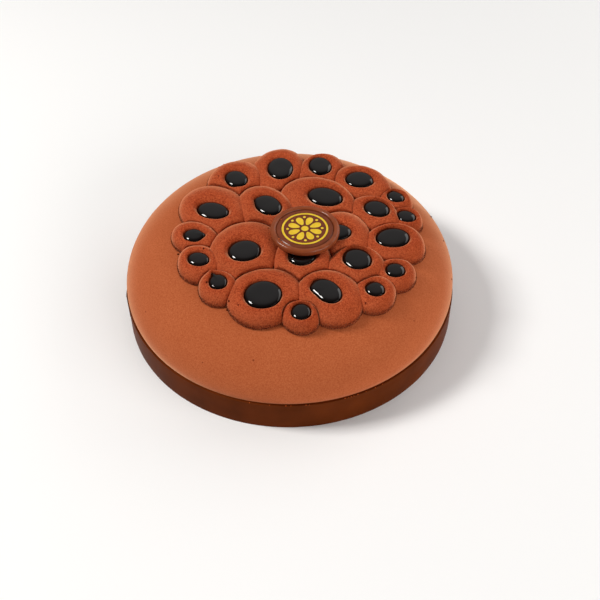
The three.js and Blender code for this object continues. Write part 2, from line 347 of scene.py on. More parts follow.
domeLook = {
    "dark": linear(172, 86, 46),
    "middle": linear(185, 97, 56),
    "pale": linear(197, 110, 68),
    "patch": linear(168, 82, 44),
    "patchShare": 0.55,
    "speckAndContactShadow": linear(112, 44, 20),
    "speckShare": 0.7,
    "pit": (0.96, 0.93, 0.92, 1.0),
    "flank": linear(200, 114, 72),
    "flankSheenShare": 0.0,
    "paintedShadeShare": 0.0,
    "contactShadowShare": 0.0,
    "rim": linear(222, 146, 104),
    "rimSheenShare": 0.55,
    "bumpStrength": 0.3,
    "bumpDepth": 0.0003,
    "sheen": 0.6,
    "sheenRoughness": 0.35,
    "sheenTint": linear(255, 205, 165),
}
moundLook = {
    "dark": linear(148, 57, 28),
    "middle": linear(186, 82, 44),
    "pale": linear(213, 107, 63),
    "patch": linear(154, 60, 29),
    "patchShare": 0.6,
    "speckAndContactShadow": linear(96, 30, 12),
    "speckShare": 0.95,
    "pit": (0.8, 0.72, 0.66, 1.0),
    "flank": linear(198, 104, 64),
    "flankSheenShare": 0.4,
    "paintedShadeShare": 1.0,
    "contactShadowShare": 0.85,
    "rim": linear(232, 150, 108),
    "rimSheenShare": 0.75,
    "bumpStrength": 1.0,
    "bumpDepth": 0.0005,
    "sheen": 0.42,
    "sheenRoughness": 0.25,
    "sheenTint": linear(255, 190, 145),
}
# the fibres at the foot are coloured dark as painted shade
shadedFibreLook = {
    **moundLook,
    "dark": linear(60, 20, 10),
    "middle": linear(92, 34, 18),
    "pale": linear(150, 66, 38),
    "patchShare": 0.0,
    "flankSheenShare": 0.0,
    "paintedShadeShare": 0.5,
}
velvetOfDome = velvetMaterial("velvet of the dome", domeLook)
velvetOfMounds = velvetMaterial("velvet of the mounds", moundLook)
shadedVelvetFibres = velvetMaterial("velvet fibres in painted shade", shadedFibreLook)


glazeLook = {
    "dark": linear(8, 4, 3),
    "pale": linear(13, 7, 6),
    "rippleScale": 90.0,
    "bumpStrength": 0.08,
    "bumpDepth": 0.0004,
    "mirror": 0.5,
    "edgeMirror": 0.06,
    "roughness": 0.07,
    "refraction": 1.48,
}


def glazeMaterial(values):
    material, tree, shader = newMaterial("dark mirror glaze")
    places = addNode(tree, "ShaderNodeTexCoord").outputs
    ripple = noiseNode(tree, places["Object"], values["rippleScale"], 1.0)
    # the thin edge lies in the dark of its well and mirrors less
    mirror = easedNode(tree, attributeNode(tree, "rim"), 0.86, 0.985, values["edgeMirror"], values["mirror"])
    fillInputs(tree, shader, {
        "Base Color": ramp(tree, ripple, [(0.3, values["dark"]), (0.7, values["pale"])]),
        "Normal": bumpNode(tree, ripple, values["bumpStrength"], values["bumpDepth"]),
        "Specular IOR Level": mirror,
        "Roughness": values["roughness"],
        "IOR": values["refraction"],
    })
    return material


darkGlaze = glazeMaterial(glazeLook)
chocolateValues = {
    "recessShadeTint": (0.72, 0.68, 0.72, 1.0),
    "bumpDepth": 0.0003,
}


def chocolateMaterial(name, values):
    material, tree, shader = newMaterial(name)
    places = addNode(tree, "ShaderNodeTexCoord").outputs
    cloudy = noiseNode(tree, places["Object"], values["cloudScale"], 4.0)
    toned = ramp(tree, cloudy, [(0.3, values["dark"]), (0.7, values["pale"])])
    fine = noiseNode(tree, places["Object"], values["fineScale"], 3.0)
    # painted shade: points marked as inside a moulded rim, down in its recess, are a little darker
    fillInputs(tree, shader, {
        "Base Color": multiplied(tree, attributeNode(tree, "inside"), toned, chocolateValues["recessShadeTint"]),
        "Normal": bumpNode(tree, fine, values["bumpStrength"], chocolateValues["bumpDepth"]),
        "Specular IOR Level": values["specular"],
        "Roughness": mathNode(tree, "MULTIPLY_ADD", cloudy, values["roughnessSpread"], values["roughness"]),
    })
    return material


stripLook = {
    "dark": linear(84, 36, 8),
    "pale": linear(100, 44, 12),
    "cloudScale": 60.0,
    "fineScale": 900.0,
    "bumpStrength": 0.12,
    "roughness": 0.34,
    "roughnessSpread": 0.16,
    "specular": 0.02,
}
medallionLook = {
    "dark": linear(126, 61, 32),
    "pale": linear(142, 71, 39),
    "cloudScale": 180.0,
    "fineScale": 1400.0,
    "bumpStrength": 0.1,
    "roughness": 0.19,
    "roughnessSpread": 0.1,
    "specular": 0.24,
}
darkChocolate = chocolateMaterial("satin dark chocolate", stripLook)
milkChocolate = chocolateMaterial("moulded milk chocolate", medallionLook)
print("materials ready")


# the dome, turned from a profile that follows a superellipse; all sizes are in millimetres
domeValues = {
    "radius": 89.6,
    "waistHeight": 21.8,
    "topHeight": 55.0,
    "planPower": 4.0,
    "risePower": 1.9,
    "coreRadius": 88.6,
    "coreChamfer": 0.6,
    "stepsAround": 260,
    "stepsAlong": 120,
    "unevenness": 0.35,
}
stripValues = {
    "height": 17.6,
    "thickness": 1.3,
    "gap": 0.3,
    "lapAngle": 187.0,
    "lapLength": 9.0,
    "lapThickness": 0.6,
    "lapStep": 0.002,
    "wallInset": 0.35,
    "waviness": 0.06,
    "topWaviness": 0.15,
    "boxMargin": 0.06,
    "edgeRound": 0.35,
    "steps": 300,
}


def domeHeight(reach):
    share = np.minimum(reach / domeValues["radius"], 1) ** domeValues["planPower"]
    rise = domeValues["topHeight"] - domeValues["waistHeight"]
    return domeValues["waistHeight"] + rise * (1 - share) ** (1 / domeValues["risePower"])


def domeProfile():
    v = domeValues
    ledge = stripValues["height"] + stripValues["gap"]
    core = v["coreRadius"]
    points = [(0, 0), (core - v["coreChamfer"], 0), (core, v["coreChamfer"]), (core, ledge)]
    for turn in np.linspace(12, 78, 8):
        angle = math.radians(turn)
        points.append((core + (v["radius"] - core) * math.sin(angle),
                       v["waistHeight"] - (v["waistHeight"] - ledge) * math.cos(angle)))
    for turn in np.linspace(90, 0, 90):
        reach = v["radius"] * math.sin(math.radians(turn)) ** (2 / v["planPower"])
        points.append((reach, float(domeHeight(reach))))
    return points


def domeTree(profile):
    tree, take, give = newGroup("turnedDome", "GeometryNodeTree", [
        ("Steps Around", "NodeSocketInt", 260),
        ("Steps Along", "NodeSocketInt", 120),
        ("Unevenness", "NodeSocketFloat", 0.0003),
        ("Ledge", "NodeSocketFloat", 0.018),
        ("Velvet", "NodeSocketMaterial", None),
    ], [("Geometry", "NodeSocketGeometry")])
    grid = addNode(tree, "GeometryNodeMeshGrid", {
        "Size X": 1.0,
        "Size Y": 1.0,
        "Vertices X": take.outputs["Steps Around"],
        "Vertices Y": take.outputs["Steps Along"],
    })
    # across the grid is round the dome, up the grid is along the profile
    onGrid = axesNode(tree, addNode(tree, "GeometryNodeInputPosition").outputs[0])
    angle = mathNode(tree, "MULTIPLY", mathNode(tree, "ADD", onGrid["X"], 0.5), 2 * math.pi)
    outline = addNode(tree, "GeometryNodeObjectInfo", {"Object": profile})
    inputs = {"Curves": outline.outputs["Geometry"], "Factor": mathNode(tree, "ADD", onGrid["Y"], 0.5)}
    sample = addNode(tree, "GeometryNodeSampleCurve", inputs, mode="FACTOR")
    onProfile = axesNode(tree, sample.outputs["Position"])
    turned = addNode(tree, "ShaderNodeCombineXYZ", {
        "X": mathNode(tree, "MULTIPLY", onProfile["X"], mathNode(tree, "COSINE", angle)),
        "Y": mathNode(tree, "MULTIPLY", onProfile["X"], mathNode(tree, "SINE", angle)),
        "Z": onProfile["Z"],
    })
    inputs = {"Geometry": grid.outputs["Mesh"], "Position": turned.outputs[0]}
    shape = addNode(tree, "GeometryNodeSetPosition", inputs)
    inputs = {"Geometry": shape.outputs[0], "Distance": 0.00002}
    merged = addNode(tree, "GeometryNodeMergeByDistance", inputs)
    # a hand-made dome is a little uneven above its ledge
    waves = addNode(tree, "ShaderNodeTexNoise", {"Scale": 32.0, "Detail": 2.0})
    height = axesNode(tree, addNode(tree, "GeometryNodeInputPosition").outputs[0])["Z"]
    above = mathNode(tree, "GREATER_THAN", height, take.outputs["Ledge"])
    swell = mathNode(tree, "SUBTRACT", waves.outputs["Fac"], 0.55)
    amount = mathNode(tree, "MULTIPLY", swell, take.outputs["Unevenness"])
    outwards = addNode(tree, "GeometryNodeInputNormal").outputs[0]
    inputs = {0: outwards, "Scale": mathNode(tree, "MULTIPLY", amount, above)}
    push = addNode(tree, "ShaderNodeVectorMath", inputs, operation="SCALE")
    inputs = {"Geometry": merged.outputs[0], "Offset": push.outputs[0]}
    uneven = addNode(tree, "GeometryNodeSetPosition", inputs)
    smooth = addNode(tree, "GeometryNodeSetShadeSmooth", {"Geometry": uneven.outputs[0]})
    endTree(tree, smooth.outputs[0], take, give)
    return tree


def makeDome():
    points = domeProfile()
    curve = bpy.data.curves.new("dome_profile", "CURVE")
    curve.dimensions = "3D"
    spline = curve.splines.new("POLY")
    spline.points.add(len(points) - 1)
    for point, (reach, height) in zip(spline.points, points):
        point.co = (reach * millimetre, 0, height * millimetre, 1)
    profile = bpy.data.objects.new("dome_profile", curve)
    scene.collection.objects.link(profile)
    dome = madeByNodes("cake_dome", domeTree(profile), {
        "Steps Around": domeValues["stepsAround"] + 1,
        "Steps Along": domeValues["stepsAlong"],
        "Unevenness": domeValues["unevenness"] * millimetre,
        "Ledge": (stripValues["height"] + 1) * millimetre,
        "Velvet": velvetOfDome,
    })
    bpy.data.objects.remove(profile)
    finishPiece(dome, "dome_velvet", "mousse_cake")
    return dome


dome = makeDome()


# the chocolate strip round the foot, with its lapped end at the left
def makeStrip():
    v = stripValues
    inside = domeValues["coreRadius"] + v["gap"] - v["wallInset"]
    lapAngle = math.radians(v["lapAngle"])
    sweep = v["lapLength"] / domeValues["radius"]
    atLap = [lapAngle - v["lapStep"], lapAngle, lapAngle + v["lapStep"]]
    angles = np.unique(np.concatenate([anglesAround(v["steps"]), atLap]))
    before = (lapAngle - angles) / sweep
    lap = np.where((before >= 0) & (before < 1), 1 - before, 0) * v["lapThickness"]
    wave = np.array([noise.noise(Vector((6 * math.cos(a), 6 * math.sin(a), 3.1))) for a in angles])
    outside = domeValues["coreRadius"] + v["gap"] + v["thickness"] + lap
    outside = outside - v["waviness"] * (1 + wave) - v["boxMargin"]
    top = v["height"] + v["topWaviness"] * wave
    edge = v["edgeRound"]
    section = [
        (inside, 0.0), (outside - edge, 0.0), (outside - 0.1 * edge, 0.25 * edge), (outside, edge),
        (outside, v["height"] * 0.35), (outside, v["height"] * 0.7), (outside, top - edge),
        (outside - 0.1 * edge, top - 0.3 * edge), (outside - 0.35 * edge, top - 0.08 * edge),
        (outside - edge, top), (inside, top),
    ]
    points, faces = bandFromRings([ringAt(reach, height, angles) for reach, height in section])
    strip = meshPiece("chocolate_strip_round", points, faces, darkChocolate)
    shadeSmooth(strip, 40)
    finishPiece(strip, "dark_chocolate", "chocolate_strip")
    return strip


strip = makeStrip()


# the piped mounds and their pools of glaze
moundValues = {
    "glazeRise": 4.7,
    "levelTilt": 0.08,
    "lipHeight": 0.15,
    "crestHeight": 2.1,
    "crestPlace": 0.28,
    "flankPower": 1.4,
    "wellDepth": 2.3,
    "collarWidth": 0.9,
    "stepLength": 0.95,
    "creaseOverlap": 0.7,
    "creaseRound": 4.2,
    "creaseDepth": 1.9,
    "leaderShare": 0.45,
    "frontLead": 0.15,
    "foot": 0.14,
    "footTuck": 0.12,
    "frontSwell": 0.7,
    "unevenness": 0.22,
    "unevenSize": 6.0,
    "rollPower": 2.4,
    "neighbourReach": 60,
}
# each mound: centre, half length, half width and turn of its pool, then the same of its own outline;
# a bulge on the pool's brim is its angle, its spread in degrees and how far it reaches
outerMounds = [
    {"pool": (-28.2, 36.4, 7.2, 6.0, -62), "pad": (-29.0, 39.2, 15.6, 17.3, -17)},
    {"pool": (-3.8, 44.5, 9.4, 7.1, 90), "pad": (-5.3, 48.3, 14.9, 19.7, -17), "crest": -0.6},
    {"pool": (18.5, 46.6, 7.7, 6.3, -83), "pad": (18.9, 46.0, 12.7, 15.9, -37), "crest": -0.6},
    {"pool": (39.5, 34.2, 7.6, 6.9, -4), "pad": (41.6, 34.7, 17.3, 14.1, -41), "bulges": [(-22, 15, 0.6)]},
    {"pool": (58.7, 21.5, 5.1, 4.2, -44), "pad": (58.5, 20.0, 8.1, 9.9, -72), "bulges": [(100, 14, 0.5)]},
    {"pool": (62.9, 5.6, 5.3, 4.7, -35), "pad": (62.2, 5.7, 10.1, 7.6, 12)},
    {"pool": (54.0, -12.2, 9.0, 7.4, 12), "pad": (55.2, -13.5, 16.3, 12.9, 7), "sunk": 0.5},
    {"pool": (53.4, -34.5, 5.0, 5.0, -17), "pad": (52.3, -34.7, 12.7, 9.0, 22)},
    {"pool": (42.1, -47.4, 5.2, 4.7, -50), "pad": (41.7, -47.5, 12.2, 9.3, 34), "bulges": [(130, 30, -0.3)]},
    {"pool": (17.8, -50.0, 9.0, 6.6, -54), "pad": (19.4, -50.2, 17.2, 15.7, -36),
     "bulges": [(170, 18, 0.8), (-145, 30, -0.6)]},
    {"pool": (4.9, -62.0, 5.4, 4.9, 74), "pad": (4.3, -62.1, 9.6, 7.6, -11), "ahead": 3},
    {"pool": (-13.6, -51.5, 9.5, 9.2, 39), "pad": (-13.0, -49.0, 19.1, 16.9, 15)},
    {"pool": (-36.0, -41.8, 5.2, 4.6, -85), "pad": (-36.2, -42.5, 9.2, 10.8, 49), "bulges": [(118, 10, 2.0)]},
    {"pool": (-46.5, -25.6, 5.7, 4.9, -28), "pad": (-46.3, -25.4, 10.6, 13.1, 36)},
    {"pool": (-49.8, -8.1, 5.2, 4.8, -15), "pad": (-49.5, -6.5, 14.0, 10.3, -37), "bulges": [(0, 18, 1.1)]},
    {"pool": (-40.3, 10.7, 8.9, 6.7, -24), "pad": (-40.7, 14.8, 21.4, 17.4, 124), "sunk": 0.9},
]
innerMounds = [
    {"pool": (-10.7, 12.4, 8.6, 6.6, -57), "pad": (-12.2, 13.0, 14.2, 19.4, 27), "bulges": [(146, 15, 0.7)]},
    {"pool": (20.1, 19.1, 9.8, 7.4, -23), "pad": (16.1, 18.5, 22.3, 18.1, -42), "sunk": 0.7},
    {"pool": (47.3, 9.4, 7.2, 6.3, -40), "pad": (46.0, 7.9, 15.4, 11.2, -42), "sunk": 0.4},
    {"pool": (25.0, -9.8, 7.5, 5.8, 0), "pad": (27.8, -8.8, 14.9, 17.9, 2)},
    {"pool": (34.3, -28.9, 7.8, 7.3, -63), "pad": (33.5, -31.3, 15.2, 11.3, 10), "sunk": 0.6,
     "bulges": [(-140, 25, -0.4)]},
    {"pool": (6.3, -26.7, 7.4, 6.9, 49), "pad": (6.4, -26.0, 15.0, 17.1, -2)},
    {"pool": (-23.0, -21.3, 8.5, 7.9, 15), "pad": (-22.6, -18.1, 18.9, 21.4, -21), "sunk": 0.9},
]
allMounds = outerMounds + innerMounds


def reachToOutline(start, outline, angle):
    centreX, centreY, halfLength, halfWidth, turn = outline
    cos, sin = math.cos(math.radians(turn)), math.sin(math.radians(turn))
    fromX, fromY = start[0] - centreX, start[1] - centreY
    alongX, alongY = np.cos(angle), np.sin(angle)
    px = (fromX * cos + fromY * sin) / halfLength
    py = (fromY * cos - fromX * sin) / halfWidth
    vx = (alongX * cos + alongY * sin) / halfLength
    vy = (alongY * cos - alongX * sin) / halfWidth
    a = vx * vx + vy * vy
    b = px * vx + py * vy
    c = px * px + py * py - 1
    return (np.sqrt(b * b - a * c) - b) / a


def poolReach(mound, angle):
    reach = reachToOutline(mound["pool"], mound["pool"], angle)
    for place, width, amount in mound.get("bulges", ()):
        away = (angle - math.radians(place) + math.pi) % (2 * math.pi) - math.pi
        reach = reach + amount * np.exp(-((away / math.radians(width)) ** 2))
    return reach


def padReach(mound, angle):
    return reachToOutline(mound["pool"], mound["pad"], angle)


def glazeLevel(mound, x, y):
    poolX, poolY = mound["pool"][:2]
    reach = math.hypot(poolX, poolY)
    slope = domeHeight(reach + 0.5) - domeHeight(reach - 0.5)
    outwards = (poolX * (x - poolX) + poolY * (y - poolY)) / reach
    rise = moundValues["glazeRise"] - mound.get("sunk", 0)
    return domeHeight(reach) + rise + moundValues["levelTilt"] * slope * outwards


def moundTop(mound, x, y, foot=0.0):
    v = moundValues
    dx, dy = x - mound["pool"][0], y - mound["pool"][1]
    angle, reach = np.arctan2(dy, dx), np.hypot(dx, dy)
    inner, outer = poolReach(mound, angle), padReach(mound, angle)
    place = np.clip((reach - inner) / (outer - inner), 0, 1)
    level = glazeLevel(mound, x, y)
    crest = v["crestHeight"] + mound.get("sunk", 0) + mound.get("crest", 0)
    climb = 1 - (1 - np.minimum(place / v["crestPlace"], 1)) ** 2
    rim = level + v["lipHeight"] + (crest - v["lipHeight"]) * climb
    base = domeHeight(np.hypot(x, y))
    base = base + foot * (level + crest - base)
    fall = np.clip((place - v["crestPlace"]) / (1 - v["crestPlace"]), 0, 1)
    flank = base + (level + crest - base) * np.sqrt(1 - fall ** v["flankPower"])
    return np.where(place < v["crestPlace"], rim, flank)


def leadOf(mound):
    return mound.get("ahead", 0) - moundValues["frontLead"] * mound["pool"][1]


def standing(mound, x, y):
    dx, dy = x - mound["pool"][0], y - mound["pool"][1]
    onPool = np.hypot(dx, dy) < poolReach(mound, np.arctan2(dy, dx)) + moundValues["collarWidth"]
    onPad = np.hypot(dx, dy) < padReach(mound, np.arctan2(dy, dx))
    lift = moundTop(mound, x, y, moundValues["foot"]) - domeHeight(np.hypot(x, y)) + leadOf(mound)
    return np.where(onPool, np.inf, np.where(onPad, lift, -np.inf))


def reachToCrease(mound, angles):
    # how far a mound reaches before a neighbour covers it, and whether that neighbour lies in front
    start = poolReach(mound, angles) + moundValues["collarWidth"]
    shares = np.arange(0, 1.0, 0.004)
    reach = start[:, None] + shares[None, :] * np.maximum(padReach(mound, angles) - start, 0)[:, None]
    x = mound["pool"][0] + reach * np.cos(angles)[:, None]
    y = mound["pool"][1] + reach * np.sin(angles)[:, None]
    own = standing(mound, x, y)
    rows = np.arange(len(angles))
    crease = np.full(len(angles), np.inf)
    behind = np.zeros(len(angles), bool)
    for other in allMounds:
        apart = math.hypot(other["pool"][0] - mound["pool"][0], other["pool"][1] - mound["pool"][1])
        if other is not mound and apart < moundValues["neighbourReach"]:
            higher = standing(other, x, y) > own
            crossing = np.where(higher.any(axis=1), reach[rows, higher.argmax(axis=1)], np.inf)
            behind = np.where(crossing < crease, leadOf(other) > leadOf(mound), behind)
            crease = np.minimum(crease, crossing)
    return crease, behind


def unevenAt(x, y):
    size, layer = moundValues["unevenSize"], 0.7
    values = [noise.noise(Vector((px / size, py / size, layer))) for px, py in zip(x.ravel(), y.ravel())]
    return np.array(values).reshape(x.shape)


def nodeNames(kind):
    outer = [f"{kind}_outer_{i + 1:02d}" for i in range(len(outerMounds))]
    return outer + [f"{kind}_inner_{i + 1:02d}" for i in range(len(innerMounds))]


def markPoints(piece, label, values):
    marks = piece.data.attributes.new(label, "FLOAT", "POINT")
    marks.data.foreach_set("value", values)


def moundBody(mound):
    v = moundValues
    size = (mound["pad"][2] + mound["pad"][3]) / 2
    steps = int(2 * math.pi * size / v["stepLength"])
    angles = anglesAround(steps)
    inner, outer = poolReach(mound, angles), padReach(mound, angles)
    crease, behind = reachToCrease(mound, angles)
    cos, sin = np.cos(angles), np.sin(angles)
    swell = v["frontSwell"] * np.clip(-sin, 0, 1)
    edge = np.minimum(outer + swell, crease + v["creaseOverlap"])
    stretch = outer / (outer + swell)
    pressed = np.clip((outer + swell - crease - v["creaseOverlap"]) / v["creaseRound"], 0, 1)
    pressed = pressed * np.where(behind, 1.0, v["leaderShare"])

    def ring(reach, heightOf):
        x = mound["pool"][0] + reach * cos
        y = mound["pool"][1] + reach * sin
        return np.stack([x, y, heightOf(x, y)], axis=1)

    def top(x, y):
        # the flank is read from the outline before it swells to the front
        inX = mound["pool"][0] + (x - mound["pool"][0]) * stretch
        inY = mound["pool"][1] + (y - mound["pool"][1]) * stretch
        lift = moundTop(mound, inX, inY, v["foot"]) - domeHeight(np.hypot(inX, inY))
        surface = domeHeight(np.hypot(x, y)) + lift + v["unevenness"] * unevenAt(x, y)
        return np.maximum(surface, domeHeight(np.hypot(x, y)) + 0.2)

    def over(lift):
        return lambda x, y: domeHeight(np.hypot(x, y)) + lift

    def level(lift):
        return lambda x, y: glazeLevel(mound, x, y) + lift

    rings = [ring(inner - 0.1, level(-v["wellDepth"])), ring(inner - 0.1, level(-0.2))]
    rings.append(ring(inner - 0.05, level(0.1)))
    flank = [0.0] * len(rings)
    for share in (0.0, 0.03, 0.07, 0.12, 0.18, 0.24, 0.3, 0.37, 0.44, 0.51, 0.58, 0.65, 0.71, 0.77, 0.82,
                  0.86, 0.9, 0.93, 0.955, 0.975, 0.99, 1.0):
        # beside a neighbour the shoulder rounds down into the crease
        away = np.clip(1 - (1 - share) * (edge - inner) / v["creaseRound"], 0, 1)
        roll = pressed * v["creaseDepth"] * (1 - np.sqrt(1 - away ** v["rollPower"]))
        rings.append(ring(inner + 0.12 + share * (edge - inner - 0.12), lambda x, y: top(x, y) - roll))
        flank.append(share)
    # under its widest ring the mound tucks in to where it stands on the dome
    widest = rings[-1][:, 2] - domeHeight(np.hypot(rings[-1][:, 0], rings[-1][:, 1]))
    tuck = v["footTuck"] * (edge - inner) * (1 - 0.6 * pressed)
    for turn in (14, 30, 47, 64, 80):
        angle = math.radians(turn)
        lift = widest * (1 - math.sin(angle)) - 0.1 * math.sin(angle)
        rings.append(ring(edge - tuck * (1 - math.cos(angle)), over(lift)))
    rings.append(ring(edge - tuck, over(-0.4)))
    rings.append(ring(edge * 0.5, over(-0.6)))
    x, y = mound["pool"][:2]
    points, faces = bodyFromRings((x, y, level(-v["wellDepth"])(x, y)), rings, (x, y, over(-0.6)(x, y)))
    # past the widest ring it runs on from 1 to 2 under the mound
    flank += [1.08, 1.25, 1.45, 1.7, 2.0]
    flank += [2.0] * (len(rings) - len(flank))
    return points, faces, np.concatenate([[0.0], np.repeat(flank, steps), [1.0]])


def makeMounds():
    bodies = [moundBody(mound) for mound in allMounds]
    points, faces = joined([body[:2] for body in bodies])
    mounds = meshPiece("piped_mounds", points, faces, velvetOfMounds)
    markPoints(mounds, "flank", np.concatenate([body[2] for body in bodies]))
    shadeSmooth(mounds, 60)
    finishPiece(mounds, "mound_velvet", *nodeNames("mound"))
    return mounds


mounds = makeMounds()

# fibres of the velvet fray the line where the mounds meet the dome; their dark colour is painted shade, the
# contact shadow at the foot
fuzzValues = {
    "density": 9.0,
    "from": 0.97,
    "length": 0.6,
    "width": 0.11,
    "spread": 0.7,
    "clearance": 4.0,
    "seed": 7,
}


def fuzzTree():
    tree, take, give = newGroup("velvetFuzz", "GeometryNodeTree", [
        ("Geometry", "NodeSocketGeometry", None),
        ("Density", "NodeSocketFloat", 4000000.0),
        ("From", "NodeSocketFloat", 0.8),
        ("Length", "NodeSocketFloat", 0.0005),
        ("Width", "NodeSocketFloat", 0.0001),
        ("Spread", "NodeSocketFloat", 0.5),
        ("Clearance", "NodeSocketFloat", 0.004),
        ("Seed", "NodeSocketInt", 0),
        ("Velvet", "NodeSocketMaterial", None),
    ], [("Geometry", "NodeSocketGeometry")])
    surface = take.outputs["Geometry"]
    named = addNode(tree, "GeometryNodeInputNamedAttribute", {"Name": "flank"}, data_type="FLOAT")
    flank = named.outputs["Attribute"]
    inputs = {"Value": flank, "From Min": take.outputs["From"]}
    share = addNode(tree, "ShaderNodeMapRange", inputs).outputs["Result"]
    # none inside a neighbour or in a crease: no mound may lie close before the root
    facing = addNode(tree, "GeometryNodeInputNormal").outputs[0]
    position = addNode(tree, "GeometryNodeInputPosition").outputs[0]
    inputs = {0: facing, 1: (0.0001, 0.0001, 0.0001), 2: position}
    root = addNode(tree, "ShaderNodeVectorMath", inputs, operation="MULTIPLY_ADD")
    near = addNode(tree, "GeometryNodeRaycast", {
        "Target Geometry": surface,
        "Source Position": root.outputs[0],
        "Ray Direction": facing,
        "Ray Length": take.outputs["Clearance"],
    })
    low = mathNode(tree, "LESS_THAN", flank, 1.3)
    spread = addNode(tree, "GeometryNodeDistributePointsOnFaces", {
        "Mesh": surface,
        "Selection": mathNode(tree, "SUBTRACT", low, near.outputs["Is Hit"]),
        "Density": mathNode(tree, "MULTIPLY", take.outputs["Density"], share),
        "Seed": take.outputs["Seed"],
    }, distribute_method="RANDOM")
    fibre = addNode(tree, "GeometryNodeMeshCone", {
        "Vertices": 3,
        "Radius Top": 0.0,
        "Radius Bottom": take.outputs["Width"],
        "Depth": take.outputs["Length"],
    })
    # a random lean about the way the surface faces
    inputs = {"Min": (-1.0, -1.0, -1.0), "Max": (1.0, 1.0, 1.0)}
    lean = addNode(tree, "FunctionNodeRandomValue", inputs, data_type="FLOAT_VECTOR")
    inputs = {0: lean.outputs["Value"], "Scale": take.outputs["Spread"]}
    leaning = addNode(tree, "ShaderNodeVectorMath", inputs, operation="SCALE")
    inputs = {0: spread.outputs["Normal"], 1: leaning.outputs[0]}
    towards = addNode(tree, "ShaderNodeVectorMath", inputs, operation="ADD")
    turn = addNode(tree, "FunctionNodeAlignRotationToVector", {"Vector": towards.outputs[0]}, axis="Z")
    size = addNode(tree, "FunctionNodeRandomValue", {2: 0.5, 3: 1.25}, data_type="FLOAT")
    placed = addNode(tree, "GeometryNodeInstanceOnPoints", {
        "Points": spread.outputs["Points"],
        "Instance": fibre.outputs["Mesh"],
        "Rotation": turn.outputs["Rotation"],
        "Scale": size.outputs[1],
    })
    endTree(tree, placed.outputs[0], take, give)
    return tree


def makeFuzz():
    fuzz = madeByNodes("velvet_fuzz", fuzzTree(), {
        "Density": fuzzValues["density"] / millimetre**2,
        "From": fuzzValues["from"],
        "Length": fuzzValues["length"] * millimetre,
        "Width": fuzzValues["width"] * millimetre,
        "Spread": fuzzValues["spread"],
        "Clearance": fuzzValues["clearance"] * millimetre,
        "Seed": fuzzValues["seed"],
        "Velvet": shadedVelvetFibres,
    }, mounds)
    finishPiece(fuzz, "mound_velvet")
    return fuzz


fuzz = makeFuzz()


glazeValues = {
    "beadHeight": 1.3,
    "beadRound": 1.6,
    "edgeHeight": 0.75,
    "edgePower": 9.0,
    "intoWall": 0.15,
    "depth": 1.6,
    "steps": 96,
}


def poolBody(mound):
    # a bead of glaze: nearly flat in the middle, steep towards the line where it meets the well
    v = glazeValues
    angles = anglesAround(v["steps"])
    brim = poolReach(mound, angles) + v["intoWall"]
    cos, sin = np.cos(angles), np.sin(angles)
    full = np.cosh(brim / v["beadRound"])
    x0, y0 = mound["pool"][:2]

    def ring(share, lift):
        x, y = x0 + share * brim * cos, y0 + share * brim * sin
        return np.stack([x, y, glazeLevel(mound, x, y) + lift], axis=1)

    rings = []
    for share in np.sin(np.linspace(0.07, 0.5, 20) * math.pi):
        steep = v["edgeHeight"] * math.sqrt(1 - min(share, 1.0) ** v["edgePower"])
        bead = v["beadHeight"] * (1 - np.cosh(share * brim / v["beadRound"]) / full)
        rings.append(ring(share, steep + bead))
    rings.append(ring(1.0, -v["depth"]))
    centre = float(glazeLevel(mound, x0, y0))
    middle = centre + v["edgeHeight"] + v["beadHeight"] * (1 - 1 / float(full.mean()))
    points, faces = bodyFromRings((x0, y0, middle), rings, (x0, y0, centre - v["depth"]))
    # how near the brim each point lies: 1 at and under the brim
    reach = [np.hypot(ring[:, 0] - x0, ring[:, 1] - y0) / brim for ring in rings]
    return points, faces, np.concatenate([[0.0], *reach, [1.0]])


def makePools():
    bodies = [poolBody(mound) for mound in allMounds]
    points, faces = joined([body[:2] for body in bodies])
    pools = meshPiece("glaze_pools", points, faces, darkGlaze)
    markPoints(pools, "rim", np.concatenate([body[2] for body in bodies]))
    shadeSmooth(pools, 60)
    finishPiece(pools, "dark_glaze", *nodeNames("glaze"))
    return pools


pools = makePools()


# the moulded medallion that lies on the inner mounds
medallionValues = {
    "radius": 17.9,
    "thickness": 4.2,
    "rimWidth": 3.0,
    "rimDrop": 1.5,
    "recess": 0.75,
    "grooveDepth": 0.4,
    "grooveWidth": 0.8,
    "footRound": 1.9,
    "place": (8.2, -12.7, 62.0),
    "tilt": -0.5,
    "steps": 160,
}


def onMedallion(points):
    # from the medallion's own frame to where it lies
    tilt = Matrix.Rotation(math.radians(medallionValues["tilt"]), 4, "X")
    turn = Matrix.Translation(medallionValues["place"]) @ tilt
    return [turn @ Vector(point) for point in points]


def makeMedallion():
    v = medallionValues
    rimInside = v["radius"] - v["rimWidth"]
    floor = v["thickness"] - v["recess"]
    groove = floor - v["grooveDepth"]
    profile = [(0, floor), (rimInside - 4, floor)]
    for share in np.linspace(0, 1, 7):
        dip = (1 - math.cos(share * math.pi)) / 2
        profile.append((rimInside - v["grooveWidth"] * (1 - share), floor - v["grooveDepth"] * dip))
    for turn in np.linspace(172, 0, 24):
        angle = math.radians(turn)
        drop = v["rimDrop"] if turn < 90 else v["thickness"] - groove
        profile.append((v["radius"] + v["rimWidth"] / 2 * (math.cos(angle) - 1),
                        v["thickness"] - drop * (1 - math.sin(angle))))
    for turn in np.linspace(0, 90, 6):
        angle = math.radians(turn)
        profile.append((v["radius"] - v["footRound"] * (1 - math.cos(angle)),
                        v["footRound"] * (1 - math.sin(angle))))
    profile.append((0, 0))
    points, faces = turnedBody(profile, v["steps"])
    medallion = meshPiece("round_medallion", onMedallion(points), faces, milkChocolate)
    reach = np.hypot(points[:, 0], points[:, 1])
    markPoints(medallion, "inside", np.where(reach < rimInside + 0.15, 1.0, 0.0))
    shadeSmooth(medallion, 50)
    finishPiece(medallion, "milk_chocolate", "chocolate_medallion")
    return medallion


medallion = makeMedallion()

